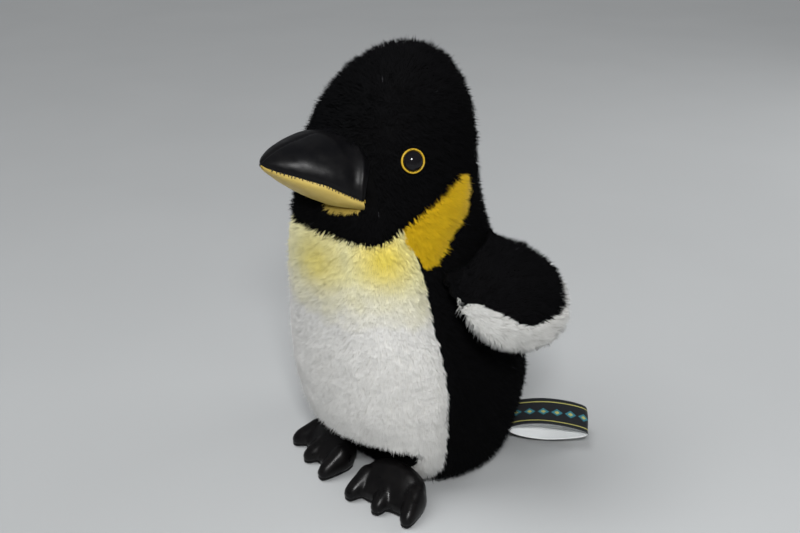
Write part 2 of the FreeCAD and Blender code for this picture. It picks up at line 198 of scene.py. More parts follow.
def hard_plastic(name, colour, other, roughness):
    graph = Graph(name)
    place = graph.place()
    base = graph.blend(graph.noise(place, 500.0), colour, other)
    gloss = graph.span(graph.noise(place, 900.0, 3.0), 0.3, 0.7, roughness, roughness + 0.05)
    return graph.finish(Base_Color=base, Roughness=gloss, Specular_IOR_Level=0.2)


def fibre_fill():
    graph = Graph("fibre_fill")
    place = graph.place()
    strands = graph.node("TexNoise", {"Vector": place, "Scale": 420.0, "Detail": 6.0, "Distortion": 2.0})
    # Painted shade: the fill is darker where the bump's height is low, in its hollows.
    base = graph.blend(strands, rgb(0.70, 0.70, 0.68), rgb(0.93, 0.93, 0.92))
    return graph.finish(Base_Color=base, Roughness=0.95, Normal=graph.bump(strands, 0.8, 0.0008))


def pellet_bag_cloth():
    graph = Graph("pellet_bag_cloth")
    place = graph.place()
    lumps = graph.node("TexVoronoi", {"Vector": place, "Scale": 330.0})
    weave = graph.node("TexWave", {"Vector": place, "Scale": 700.0, "Distortion": 0.5})
    base = graph.blend(weave, rgb(0.52, 0.52, 0.50), rgb(0.66, 0.66, 0.63))
    return graph.finish(Base_Color=base, Roughness=0.85, Normal=graph.bump(lumps, 0.7, 0.001))


def thread(name, colour):
    graph = Graph(name)
    twist = graph.node("TexWave", {"Vector": graph.place(), "Scale": 900.0, "Distortion": 2.0})
    base = graph.blend(twist, colour, tuple(0.6 * c for c in colour[:3]) + (1.0,))
    return graph.finish(Base_Color=base, Roughness=0.6, Normal=graph.bump(twist, 0.5, 0.0002))


BLACK_PLUSH = black_plush()
WHITE_PLUSH = pale_plush("white_plush", rgb(0.80, 0.79, 0.74), rgb(0.93, 0.925, 0.90), 0.15, uneven=0.35,
                         low_tint=(rgb(0.99, 0.94, 0.54), 0.108, 0.136),
                         spots=[((0.035, -0.0455, 0.1345), 0.018, rgb(1.0, 0.88, 0.30)),
                                ((0.004, -0.0620, 0.1280), 0.018, rgb(1.0, 0.93, 0.55))])
# The wing's white is a darker copy of the belly's white plush: painted shade of the wing's lower side.
WING_WHITE_PAINTED_SHADE = pale_plush("wing_white_plush_painted_shade", rgb(0.48, 0.48, 0.455), rgb(0.64, 0.64, 0.62), 0.15, uneven=0.4)
YELLOW_PLUSH = pale_plush("yellow_plush", rgb(0.58, 0.34, 0.004), rgb(0.77, 0.51, 0.010), 0.1, uneven=0.6)
CHIN_PLUSH = pale_plush("chin_plush", rgb(0.44, 0.31, 0.055), rgb(0.54, 0.40, 0.09), 0.0, uneven=0.7)
BLACK_VINYL = vinyl("black_vinyl", rgb(0.0028, 0.0028, 0.0034), rgb(0.0050, 0.0047, 0.0050),
                    0.36, shine=0.14)
FOOT_VINYL = vinyl("foot_vinyl", rgb(0.0028, 0.0026, 0.0028), rgb(0.0052, 0.0046, 0.0046),
                   0.32, shine=0.18)
YELLOW_VINYL = vinyl("yellow_vinyl", rgb(0.50, 0.37, 0.09), rgb(0.45, 0.32, 0.07), 0.48)
FIBRE_FILL = fibre_fill()
BLACK_THREAD = thread("black_thread", rgb(0.012, 0.012, 0.014))


# ---- mesh tools ------------------------------------------------------------------------------
def unit(vectors):
    return vectors / np.maximum(np.linalg.norm(vectors, axis=-1, keepdims=True), 1e-12)


def link(obj):
    bpy.context.scene.collection.objects.link(obj)
    return obj


def arrays_of(mesh):
    """Points, triangles and point normals of a mesh."""
    mesh.calc_loop_triangles()
    points = np.zeros(len(mesh.vertices) * 3)
    mesh.vertices.foreach_get("co", points)
    points = points.reshape(-1, 3)
    triangles = np.zeros(len(mesh.loop_triangles) * 3, int)
    mesh.loop_triangles.foreach_get("vertices", triangles)
    triangles = triangles.reshape(-1, 3)
    return points, triangles, point_normals(points, triangles)


def point_normals(points, triangles):
    a, b, c = (points[triangles[:, k]] for k in range(3))
    faces = np.cross(b - a, c - a)
    normals = np.zeros_like(points)
    for k in range(3):
        np.add.at(normals, triangles[:, k], faces)
    return unit(normals)


def keep_outer_island(mesh):
    """Drops everything but the island with the largest extent."""
    bm = bmesh.new()
    bm.from_mesh(mesh)
    bm.verts.ensure_lookup_table()
    seen = set()
    islands = []
    for start in bm.verts:
        if start.index in seen:
            continue
        island = [start]
        seen.add(start.index)
        for vert in island:
            for edge in vert.link_edges:
                other = edge.other_vert(vert)
                if other.index not in seen:
                    seen.add(other.index)
                    island.append(other)
        islands.append(island)
    extent = [max(v.co.z for v in i) - min(v.co.z for v in i) for i in islands]
    best = islands[extent.index(max(extent))]
    kept = set(best)
    bmesh.ops.delete(bm, geom=[v for v in bm.verts if v not in kept], context="VERTS")
    bm.to_mesh(mesh)
    bm.free()


def remeshed(mesh, voxel, smoothing):
    """Points, triangles and normals of the closed, smoothed surface round a mesh."""
    carrier = link(bpy.data.objects.new(mesh.name, mesh))
    remesh = carrier.modifiers.new("remesh", "REMESH")
    remesh.mode = "VOXEL"
    remesh.voxel_size = voxel
    smooth = carrier.modifiers.new("smooth", "SMOOTH")
    smooth.factor = 0.5
    smooth.iterations = smoothing
    result = bpy.data.meshes.new_from_object(
        carrier.evaluated_get(bpy.context.evaluated_depsgraph_get()))
    bpy.data.objects.remove(carrier)
    keep_outer_island(result)
    return arrays_of(result)


def fused(names, voxel, smoothing):
    """Points, triangles and normals of one closed surface round several CAD nodes."""
    bm = bmesh.new()
    for name in names:
        bm.from_mesh(NODES[name].data)
    mesh = bpy.data.meshes.new("fused")
    bm.to_mesh(mesh)
    bm.free()
    return remeshed(mesh, voxel, smoothing)


def tree_of(names):
    """A search tree over these CAD nodes, and the index of the node that owns each polygon."""
    all_points = []
    polygons = []
    owner = []
    for index, name in enumerate(names):
        mesh = NODES[name].data
        first = len(all_points)
        all_points += [v.co for v in mesh.vertices]
        polygons += [[first + k for k in p.vertices] for p in mesh.polygons]
        owner += [index] * len(mesh.polygons)
    return BVHTree.FromPolygons(all_points, polygons), owner


def nearest_names(points, names):
    """For each point, the index of the nearest of these CAD nodes."""
    tree, owner = tree_of(names)
    return np.array([owner[tree.find_nearest(p)[2]] for p in points.tolist()])


def distance_to(points, names):
    """For each point, how far the nearest of these CAD nodes is."""
    tree, _ = tree_of(names)
    return np.array([tree.find_nearest(p)[3] for p in points.tolist()])


def soft_noise(points, cell, seed):
    """Three smooth random values in -1 to 1 for each point, from a lattice with this spacing."""
    size = 24
    lattice = np.random.default_rng(seed).uniform(-1, 1, (size, size, size, 3))
    grid = points / cell
    base = np.floor(grid).astype(int)
    part = grid - base
    part = part * part * (3 - 2 * part)
    total = np.zeros_like(points)
    for corner in range(8):
        step = np.array([corner & 1, corner >> 1 & 1, corner >> 2 & 1])
        weight = np.prod(np.where(step, part, 1 - part), axis=1)
        cell_index = (base + step) % size
        total += weight[:, None] * lattice[cell_index[:, 0], cell_index[:, 1], cell_index[:, 2]]
    return total


def edges_of(triangles):
    return np.vstack([triangles[:, [0, 1]], triangles[:, [1, 2]], triangles[:, [2, 0]]])


def seam_distance(points, triangles, labels, reach):
    """Rough distance from each point to the nearest change of label, walking over the mesh."""
    edges = edges_of(triangles)
    lengths = np.linalg.norm(points[edges[:, 0]] - points[edges[:, 1]], axis=1)
    distance = np.full(len(points), reach * 4)
    differs = labels[edges[:, 0]] != labels[edges[:, 1]]
    for side in range(2):
        np.minimum.at(distance, edges[differs, side], lengths[differs] / 2)
    for _ in range(8):
        for a, b in ((0, 1), (1, 0)):
            np.minimum.at(distance, edges[:, a], distance[edges[:, b]] + lengths)
    return distance


def evened(labels, triangles, rounds):
    """Labels of 0 and 1 without stray islands: each point takes what most of its neighbours have."""
    edges = edges_of(triangles)
    for _ in range(rounds):
        votes = labels - 0.5
        total = votes.copy()
        for side in range(2):
            np.add.at(total, edges[:, side], votes[edges[:, 1 - side]])
        labels = (total > 0).astype(int)
    return labels


def surface_object(name, points, triangles, material):
    mesh = bpy.data.meshes.new(name)
    mesh.vertices.add(len(points))
    mesh.vertices.foreach_set("co", points.astype(np.float32).ravel())
    mesh.loops.add(triangles.size)
    mesh.loops.foreach_set("vertex_index", triangles.astype(np.int32).ravel())
    mesh.polygons.add(len(triangles))
    mesh.polygons.foreach_set("loop_start", np.arange(0, triangles.size, 3, dtype=np.int32))
    mesh.update(calc_edges=True)
    mesh.polygons.foreach_set("use_smooth", np.full(len(triangles), True))
    mesh.materials.append(material)
    return link(bpy.data.objects.new(name, mesh))


def joined_rings(rings, around, first=0):
    """Triangles that join each closed ring of points to the next one."""
    triangles = []
    for ring in range(rings - 1):
        for k in range(around):
            a, b = first + ring * around + k, first + ring * around + (k + 1) % around
            triangles += [(a, b, b + around), (a, b + around, a + around)]
    return triangles


def cleaned(obj, merge=False):
    """The object with every face turned outward and shaded smooth."""
    mesh = obj.data
    bm = bmesh.new()
    bm.from_mesh(mesh)
    if merge:
        bmesh.ops.remove_doubles(bm, verts=bm.verts, dist=1e-6)
        bmesh.ops.dissolve_degenerate(bm, edges=bm.edges, dist=1e-7)
    bmesh.ops.recalc_face_normals(bm, faces=bm.faces)
    bm.to_mesh(mesh)
    bm.free()
    mesh.polygons.foreach_set("use_smooth", [True] * len(mesh.polygons))
    return obj


def majority_of(labels, triangles):
    """The label that most corners of each triangle have."""
    return np.sort(labels[triangles], axis=1)[:, 1]


def compact(points, triangles, *fields):
    """Only the points that the triangles use, renumbered."""
    used, flat = np.unique(triangles, return_inverse=True)
    return (points[used], flat.reshape(triangles.shape)) + tuple(f[used] for f in fields)


def backed(points, triangles, normals, thickness):
    """An open skin closed into a thin shell."""
    count = len(points)
    edges = edges_of(triangles).tolist()
    keys = {(a, b) for a, b in edges}
    rim = np.array([(a, b) for a, b in edges if (b, a) not in keys], int).reshape(-1, 2)
    walls = np.vstack([np.column_stack([rim[:, 1], rim[:, 0], rim[:, 0] + count]),
                       np.column_stack([rim[:, 1], rim[:, 0] + count, rim[:, 1] + count])])
    all_points = np.vstack([points, points - normals * thickness])
    return all_points, np.vstack([triangles, triangles[:, ::-1] + count, walls])


# ---- pile ------------------------------------------------------------------------------------
UV_SKIN_SHARE = 0.14        # share of the flat map that the skin takes; strands take the rest
FLOOR_CLEARANCE = 0.0003    # no strand ends lower than this
CLOTH = 0.0006              # thickness of the backing cloth and of the vinyl


def strands(points, triangles, normals, style, seed, drop=None):
    """Roots, tips and normals of the strands that grow on a skin."""
    rng = np.random.default_rng(seed)
    a, b, c = (points[triangles[:, k]] for k in range(3))
    area = np.linalg.norm(np.cross(b - a, c - a), axis=1) / 2
    count = min(int(area.sum() * style["density"]), style["most"])
    pick = rng.choice(len(triangles), count, p=area / area.sum())
    first = np.sqrt(rng.random(count))
    second = rng.random(count)
    weights = np.column_stack([1 - first, first * (1 - second), first * second])
    corners = triangles[pick]
    roots = sum(weights[:, k:k + 1] * points[corners[:, k]] for k in range(3))
    grown = unit(sum(weights[:, k:k + 1] * normals[corners[:, k]] for k in range(3)))
    if drop is not None:
        stay = ~drop(roots, grown)
        roots, grown = roots[stay], grown[stay]
        count = len(roots)
    lay = np.asarray(style["lay"], float)
    combed = lay - grown * (grown @ lay)[:, None]
    tuft = soft_noise(roots, style["tuft"], seed + 1)
    swirl = soft_noise(roots, style["tuft"] * 5, seed + 2)
    heading = unit(grown + combed * style["lean"] + tuft * style["ruffle"] + swirl * style["swirl"]
                   + rng.normal(0, style["stray"], (count, 3)))
    rising = (heading * grown).sum(axis=1, keepdims=True)
    heading = unit(heading + grown * np.maximum(0.25 - rising, 0))
    length = style["length"] * (0.92 + 0.16 * soft_noise(roots, style["tuft"] * 1.7, seed + 3)[:, :1]
                                + rng.uniform(-0.16, 0.16, (count, 1))
                                + 0.3 * (rng.random((count, 1)) < 0.06))
    tips = roots + heading * length
    tips[:, 2] = np.maximum(tips[:, 2], FLOOR_CLEARANCE)
    return roots, tips, grown, rng.random(count)


def furry(name, skin, style, material, seed, drop=None):
    """A plush piece: its backing cloth with pile standing on it, as one mesh."""
    points, triangles, normals = compact(skin[0], skin[1], skin[2])
    roots, tips, grown, shade = strands(points, triangles, normals, style, seed, drop)
    order = np.lexsort((np.arctan2(roots[:, 1], roots[:, 0]), np.round(roots[:, 2], 3)))
    roots, tips, grown, shade = roots[order], tips[order], grown[order], shade[order]
    count = len(roots)
    along = unit(tips - roots)
    across = unit(np.cross(along, np.random.default_rng(seed + 9).normal(size=(count, 3))))
    third = np.cross(along, across)
    feet = roots - along * 0.0004
    base = [feet + style["radius"] * (math.cos(t) * across + math.sin(t) * third)
            for t in (0.0, 2 * math.pi / 3, 4 * math.pi / 3)]
    shell_points, shell_triangles = backed(points, triangles, normals, CLOTH)
    start = len(shell_points)
    corner = start + np.arange(count)
    b0, b1, b2, tip = corner, corner + count, corner + 2 * count, corner + 3 * count
    spikes = np.vstack([np.column_stack(t) for t in ((b0, b1, tip), (b1, b2, tip), (b2, b0, tip))])
    all_points = np.vstack([shell_points] + base + [tips])
    all_triangles = np.vstack([shell_triangles, spikes])
    obj = surface_object(name, all_points, all_triangles, material)
    mesh = obj.data

    # The backing cloth and the strands' roots take the root colour, which is painted shade deep in the
    # pile.
    pile = np.concatenate([np.zeros(start), np.full(3 * count, 0.25), np.ones(count)])
    shades = np.concatenate([np.full(start, 0.5), np.tile(shade, 4)])
    for title, values in (("pile", pile), ("shade", shades)):
        field = mesh.attributes.new(title, "FLOAT", "POINT")
        field.data.foreach_set("value", values.astype(np.float32))

    outward = np.vstack([normals, -normals])
    sides = [unit(grown * style["softness"] + (b - feet) / style["radius"] * (1 - style["softness"]))
             for b in base]
    top = unit(grown * style["softness"] + along * (1 - style["softness"]))
    mesh.normals_split_custom_set_from_vertices(
        np.vstack([outward] + sides + [top]).astype(np.float32).tolist())

    flat = mesh.uv_layers.new(name="OFBake")
    low, high = shell_points.min(axis=0), shell_points.max(axis=0)
    spread = (shell_points - low) / np.maximum(high - low, 1e-6)
    skin_uv = np.column_stack([spread[:, 0] * 0.5 + spread[:, 1] * 0.5,
                               1 - UV_SKIN_SHARE + 0.01 + (UV_SKIN_SHARE - 0.02) * spread[:, 2]])
    columns = int(math.ceil(math.sqrt(count / (1 - UV_SKIN_SHARE))))
    cell_x = (np.arange(count) % columns) / columns
    cell_y = (np.arange(count) // columns) / columns
    step = 1.0 / columns
    left = np.column_stack([cell_x + 0.1 * step, cell_y + 0.1 * step])
    right = np.column_stack([cell_x + 0.9 * step, cell_y + 0.1 * step])
    upper = np.column_stack([cell_x + 0.5 * step, cell_y + 0.9 * step])
    spike_uv = np.tile(np.stack([left, right, upper], axis=1), (3, 1, 1))
    values = np.concatenate([skin_uv[shell_triangles].reshape(-1), spike_uv.reshape(-1)])
    flat.data.foreach_set("uv", values.astype(np.float32))
    return obj


BODY_PILE = {"density": 2.6e6, "most": 45000, "length": 0.0047, "radius": 0.00030, "tuft": 0.0024,
             "lay": (0.0, 0.25, -1.0), "lean": 0.45, "ruffle": 0.42, "swirl": 0.15, "stray": 0.13,
             "softness": 0.6}
PILE_DEPTH = 0.0027         # from the CAD skin's outside to the roots


def style(**changes):
    return dict(BODY_PILE, **changes)


def own(piece, body, slot, *nodes, fill=None):
    """The lines that every piece needs: what it rides on and stands for. The finish slot is not used."""
    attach(piece, body)
    if nodes:
        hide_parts(*nodes)
    return piece


# ---- beak shape ------------------------------------------------------------------------------
# Distance in front of the axis, half width, mouth height, ridge height, keel height.
BEAK_STATIONS = np.array([
    (0.0400, 0.0290, 0.1570, 0.1862, 0.1520),
    (0.0450, 0.0292, 0.1590, 0.1878, 0.1532),
    (0.0500, 0.0280, 0.1618, 0.1884, 0.1548),
    (0.0580, 0.0248, 0.1663, 0.1884, 0.1576),
    (0.0660, 0.0200, 0.1710, 0.1875, 0.1625),
    (0.0740, 0.0140, 0.1746, 0.1857, 0.1685),
    (0.0800, 0.0084, 0.1768, 0.1836, 0.1735),
    (0.0838, 0.0036, 0.1786, 0.1817, 0.1771),
    (0.0849, 0.0008, 0.1797, 0.1804, 0.1790),
])
ARCH_POWER = 2.1
CORNER_PULL = 0.0105        # how far forward the mouth ends, against the middle of the flank


def smooth_rows(rows, parts):
    """Rows spread along a Catmull-Rom curve through the given ones."""
    padded = np.vstack([2 * rows[0] - rows[1], rows, 2 * rows[-1] - rows[-2]])
    made = []
    for k in range(len(rows) - 1):
        p0, p1, p2, p3 = padded[k:k + 4]
        for t in np.linspace(0, 1, parts, endpoint=False):
            made.append(0.5 * (2 * p1 + (p2 - p0) * t + (2 * p0 - 5 * p1 + 4 * p2 - p3) * t ** 2
                               + (3 * p1 - 3 * p2 + p3 - p0) * t ** 3))
    return np.array(made + [rows[-1]])


def inside_beak(points, margin=0.0):
    front = -points[:, 1]
    columns = [np.interp(front, BEAK_STATIONS[:, 0], BEAK_STATIONS[:, k]) for k in range(1, 5)]
    width, mouth, ridge, keel = columns
    share = np.clip(np.abs(points[:, 0]) / (width - margin), 0, 1)
    arch = (1 - share ** ARCH_POWER) ** (1 / ARCH_POWER)
    top = mouth + (ridge - margin - mouth) * arch
    bottom = mouth - (mouth - keel - margin) * arch
    ahead = (front > 0.038) & (share < 1)
    return ahead & (points[:, 2] < top) & (points[:, 2] > bottom)


# ---- eyes ------------------------------------------------------------------------------------
def middle_of(node):
    low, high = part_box(node)
    return (low + high) / 2


def eye_seat(word):
    """Middle of the ring and the way the eye looks."""
    ring = middle_of("eye_ring_" + word)
    aim = (ring - middle_of("eye_washer_" + word)).normalized()
    return ring, aim


def lathe(name, profile, seat, aim, material, steps=64):
    """A turned shape: profile points are (radius, height above the seat)."""
    turn = aim.to_track_quat("Z", "Y").to_matrix()
    points = []
    for radius, height in profile:
        for k in range(steps):
            t = 2 * math.pi * k / steps
            points.append(seat + turn @ Vector((radius * math.cos(t), radius * math.sin(t), height)))
    triangles = joined_rings(len(profile), steps)
    return cleaned(surface_object(name, np.array(points), np.array(triangles), material), merge=True)


EYE_RADIUS = 0.0047
EYE_HEIGHT = 0.0040
RING_RADIUS = 0.0058


def make_eyes():
    glass = hard_plastic("eye_gloss", rgb(0.004, 0.004, 0.005), rgb(0.007, 0.006, 0.007), 0.09)
    yellow = hard_plastic("ring_gloss", rgb(0.54, 0.35, 0.03), rgb(0.46, 0.28, 0.02), 0.3)
    white = hard_plastic("washer_plastic", rgb(0.78, 0.78, 0.76), rgb(0.70, 0.70, 0.68), 0.45)
    for word, _ in SIDES:
        seat, aim = eye_seat(word)
        seat = seat - aim * 0.0006
        dome = [(0.0, -0.0080), (0.0015, -0.0080), (0.0016, -0.0012), (EYE_RADIUS - 0.0004, -0.0012),
                (EYE_RADIUS, -0.0008)]
        for k in range(17):
            t = math.pi / 2 * k / 16
            dome.append((EYE_RADIUS * math.cos(t), EYE_HEIGHT * math.sin(t) ** 0.92))
        eye = lathe("eye_dome_" + word, dome, seat, aim, glass)
        own(eye, "torso", "eye_black", "eye_" + word)
        ring = []
        for k in range(25):
            t = 2 * math.pi * k / 24
            ring.append((0.5 * (EYE_RADIUS + RING_RADIUS) - 0.0001 + 0.00044 * math.cos(t),
                         0.00050 + 0.00055 * math.sin(t)))
        own(lathe("eye_rim_" + word, ring, seat, aim, yellow), "torso", "eye_yellow", "eye_ring_" + word)
        washer = NODES["eye_washer_" + word]
        washer.data.materials.clear()
        washer.data.materials.append(white)


# ---- body ------------------------------------------------------------------------------------
BODY_SKINS = ["side_cover_left", "side_cover_right", "belly_panel", "ear_patch_left",
              "ear_patch_right", "mouth_corner_left", "mouth_corner_right", "base_panel"]
BODY_INSIDE = ["head_filling", "body_filling", "pellet_pouch", "eye_left", "eye_right",
               "eye_ring_left", "eye_ring_right", "eye_washer_left", "eye_washer_right"]


BODY_VOXEL = 0.0015
WING_VOXEL = 0.0011
FOOT_VOXEL = 0.0008
EYE_CLEARING = 0.0056       # no pile grows nearer to the axis of an eye
BEAK_OVERLAP = 0.0022       # how far pile grows in under the beak's edge
HIDDEN_CHIN_TOP = 0.1570    # under this height the right mouth patch is black


def near_eye(points, reach):
    found = np.zeros(len(points), bool)
    for word, _ in SIDES:
        seat, aim = eye_seat(word)
        away = points - np.array(seat)
        axial = away @ np.array(aim)
        radial = np.linalg.norm(away - axial[:, None] * np.array(aim), axis=1)
        found |= (radial < reach) & (np.abs(axial) < 0.02)
    return found


def make_body():
    points, triangles, normals = fused(BODY_SKINS + BODY_INSIDE, BODY_VOXEL, 10)
    labels = nearest_names(points, BODY_SKINS)
    hidden_chin = (labels == BODY_SKINS.index("mouth_corner_right")) & (points[:, 2] < HIDDEN_CHIN_TOP)
    labels = np.where(hidden_chin, BODY_SKINS.index("side_cover_right"), labels)
    seam = seam_distance(points, triangles, labels, 0.006)
    base = BODY_SKINS.index("base_panel")
    depth = np.where(labels == base, 0.0004, PILE_DEPTH)
    crease = 0.0011 * np.exp(-(seam / 0.0028) ** 2)
    lumps = 0.0007 * soft_noise(points, 0.022, 3)[:, 0] + 0.0003 * soft_noise(points, 0.009, 4)[:, 0]
    lumps = np.where(labels == base, 0.0, lumps)
    skin = points - normals * (depth + crease + lumps)[:, None]
    skin_normals = point_normals(skin, triangles)
    majority = majority_of(labels, triangles)

    def bare(roots, grown):
        return near_eye(roots, EYE_CLEARING) | inside_beak(roots, BEAK_OVERLAP)

    def bare_base(roots, grown):
        return grown[:, 2] < -0.5

    ear_pile = style(density=6e6, ruffle=0.20, stray=0.07, softness=0.92)
    mouth_pile = style(density=6e6, length=0.0032)
    plans = {
        "side_cover_left": ("plush_side_left", BLACK_PLUSH, "black_plush", style(), bare, 0.8),
        "side_cover_right": ("plush_side_right", BLACK_PLUSH, "black_plush", style(), bare, 0.8),
        "belly_panel": ("plush_belly", WHITE_PLUSH, "white_plush",
                        style(density=4.6e6, length=0.0042, radius=0.00032, tuft=0.0036, ruffle=0.18,
                              stray=0.07, softness=0.93), bare, 0.8),
        "ear_patch_left": ("plush_ear_left", YELLOW_PLUSH, "yellow_plush", ear_pile, bare, 0.8),
        "ear_patch_right": ("plush_ear_right", YELLOW_PLUSH, "yellow_plush", ear_pile, bare, 0.8),
        "mouth_corner_left": ("plush_mouth_left", CHIN_PLUSH, "yellow_plush", mouth_pile, bare, 0.8),
        "mouth_corner_right": ("plush_mouth_right", CHIN_PLUSH, "yellow_plush", mouth_pile, bare, 0.8),
        "base_panel": ("plush_base", BLACK_PLUSH, "black_plush",
                       style(density=3e6, length=0.0016, radius=0.00022), bare_base, 0.7),
    }
    for index, node in enumerate(BODY_SKINS):
        name, material, slot, pile, drop, fill = plans[node]
        mine = triangles[majority == index]
        piece = furry(name, (skin, mine, skin_normals), pile, material, 100 + 10 * index, drop)
        own(piece, "torso", slot, node, fill=fill)


# ---- wings -----------------------------------------------------------------------------------
WING_ROOT = 0.016           # distance from the body within which a wing's root may be dark
WING_SEWN = 0.0034          # nearer than this, the wing is black all round
WING_TIP = 0.024            # from here outward the white spreads round the tip
WING_PILE_DEPTH = 0.0019


def make_wings():
    for word, side in SIDES:
        names = ["wing_upper_" + word, "wing_under_" + word]
        points, triangles, normals = fused(names + ["wing_filling_" + word], WING_VOXEL, 8)
        labels = nearest_names(points, names)
        from_body = distance_to(points, BODY_SKINS)
        ahead = distance_to(points + normals * 0.002, BODY_SKINS)
        frontal = normals[:, 1] < -0.3
        inward = ahead < from_body - np.where(frontal, 0.0014, 0.0008)
        above = normals[:, 2] > np.where(frontal, 0.25, -0.1)
        dark_root = above | inward | (from_body < WING_SEWN)
        labels = np.where((from_body < WING_ROOT) & dark_root, 0, labels)
        at_tip = np.clip((from_body - WING_TIP) / 0.008, 0, 1)
        labels = np.where((at_tip > 0) & (normals[:, 2] < -0.1 + 0.6 * at_tip), 1, labels)
        labels = evened(labels, triangles, 12)
        seam = seam_distance(points, triangles, labels, 0.005)
        crease = 0.0006 * np.exp(-(seam / 0.0022) ** 2)
        lumps = 0.0005 * soft_noise(points, 0.014, 21)[:, 0]
        skin = points - normals * (WING_PILE_DEPTH + crease + lumps)[:, None]
        skin_normals = point_normals(skin, triangles)
        majority = majority_of(labels, triangles)
        outward = (0.75 * side, 0.2, -0.9)

        def sewn(roots, grown):
            now = distance_to(roots, BODY_SKINS)
            ahead = distance_to(roots + grown * 0.003, BODY_SKINS)
            return (now < WING_ROOT) & (ahead < now - 0.0014)

        # The wing's white uses the darker copy of the white plush, which is painted shade.
        looks = ((BLACK_PLUSH, "black_plush", style(lay=outward, length=0.0042)),
                 (WING_WHITE_PAINTED_SHADE, "white_plush", style(lay=outward, length=0.0042, density=5.2e6,
                                                   ruffle=0.24, stray=0.07, softness=0.92)))
        for index, node in enumerate(names):
            material, slot, pile = looks[index]
            mine = triangles[majority == index]
            piece = furry("plush_" + node, (skin, mine, skin_normals), pile, material,
                          300 + 10 * index + int(side), sewn)
            own(piece, "wing_" + word, slot, node, fill=0.8)


# ---- beak ------------------------------------------------------------------------------------
def beak_surface(rows, side, around):
    """Closed half of the beak: its arch, the flat of the mouth and both ends."""
    points = []
    for start in rows[:, 0]:
        for k in range(around + 1):
            across = math.cos(math.pi * k / around)
            bend = abs(across) ** (4 if side > 0 else 1.5)
            pulled = CORNER_PULL * bend * max(0.060 - start, 0.0) / 0.020
            front = start + pulled
            width, mouth, ridge, keel = (float(np.interp(front, rows[:, 0], rows[:, c]))
                                         for c in range(1, 5))
            rim = 0.0010 * math.exp(-((start - 0.0440) / 0.0020) ** 2)
            valley = 0.0006 * math.exp(-((start - 0.0500) / 0.0030) ** 2)
            swell = (rim - valley) if side > 0 else 0.0
            rise = (ridge - mouth if side > 0 else mouth - keel) + swell
            arch = max(1 - abs(across) ** ARCH_POWER, 0.0) ** (1 / ARCH_POWER)
            x = (width + swell) * across
            z = rise * arch
            if side > 0:
                seam = math.exp(-(x / 0.0009) ** 2)
                pucker = 0.5 + 0.5 * math.sin(front / 0.0026 * 2 * math.pi)
                z -= seam * (0.00045 + 0.00015 * pucker)
            roll = math.exp(-(z / 0.0015) ** 2)
            x -= math.copysign((0.0006 if side > 0 else 0.0009) * roll, x)
            points.append((x, -front, mouth + side * (z + 0.0001)))
    count = around + 1
    triangles = joined_rings(len(rows), count)
    for row, flip in ((0, False), (len(rows) - 1, True)):
        first = row * count
        for k in range(1, count - 1):
            fan = (first, first + k, first + k + 1)
            triangles.append(fan[::-1] if flip else fan)
    return np.array(points), np.array(triangles)


def capsules(name, segments, radius, material):
    """Short stitches: a thin rounded rod for each pair of end points."""
    points = []
    triangles = []
    around = 8
    for start, end in segments:
        start, end = Vector(start), Vector(end)
        axis = end - start
        turn = axis.to_track_quat("Z", "Y").to_matrix()
        first = len(points)
        rings = [(0.0, -0.9), (0.7, -0.6), (1.0, 0.0), (1.0, None), (0.7, 0.6), (0.0, 0.9)]
        for index, (scale, offset) in enumerate(rings):
            along = axis.length if index > 2 else 0.0
            for k in range(around):
                t = 2 * math.pi * k / around
                local = Vector((scale * radius * math.cos(t), scale * radius * math.sin(t),
                                along + (offset or 0.0) * radius))
                points.append(start + turn @ local)
        triangles += joined_rings(len(rings), around, first)
    return surface_object(name, np.array(points), np.array(triangles), material)


def make_beak():
    rows = smooth_rows(BEAK_STATIONS, 10)
    for name, side, material, slot, nodes in (
            ("beak_top", 1, BLACK_VINYL, "black_vinyl", ("beak_upper_left", "beak_upper_right")),
            ("beak_bottom", -1, YELLOW_VINYL, "yellow_vinyl", ("beak_lower",))):
        points, triangles = beak_surface(rows, side, 72)
        dents = (0.00045 * soft_noise(points, 0.011, 31)[:, :1]
                 + 0.0002 * soft_noise(points, 0.005, 32)[:, :1])
        fade = np.clip((points[:, 1:2] + 0.084) / 0.012, 0, 1)
        points = points + dents * fade * np.array([[0.5, 0.0, 0.8]])
        piece = cleaned(surface_object(name, points, triangles, material))
        own(piece, "torso", slot, *nodes, fill=0.9)

    stitches = []
    rng = np.random.default_rng(41)
    fronts = np.arange(0.0515, 0.0835, 0.00115)
    for side in (1, -1):
        for front in fronts:
            front = front + rng.uniform(-0.0002, 0.0002)
            width, mouth = (float(np.interp(front, rows[:, 0], rows[:, k])) for k in (1, 2))
            x = side * (width - 0.00035)
            slant = rng.uniform(-0.0003, 0.0003)
            stitches.append(((x, -front, mouth + 0.0003),
                             (x - side * 0.0002, -front + slant, mouth - rng.uniform(0.0004, 0.0009))))
    own(capsules("mouth_stitches", stitches, 0.00022, BLACK_THREAD), "torso", "black_vinyl")


# ---- feet ------------------------------------------------------------------------------------
# Every row: how far ahead of the heel, half width and height.
INSTEP = ((0.002, 0.0150, 0.0185), (0.007, 0.0180, 0.0202), (0.012, 0.0182, 0.0165),
          (0.017, 0.0165, 0.0112), (0.0205, 0.0135, 0.0068))
TOE = ((0.006, 0.0040, 0.0120), (0.0120, 0.0056, 0.0150), (0.0180, 0.0050, 0.0118),
       (0.0230, 0.0042, 0.0090), (0.0262, 0.0030, 0.0064), (0.0276, 0.0012, 0.0040))
TOES = ((-0.0122, -13.0, 0.97), (0.0, 0.0, 0.98), (0.0122, 13.0, 0.97))    # offset, turn, reach
FOOT_TURN = math.radians(13.0)
SOLE_TOP = 0.0022


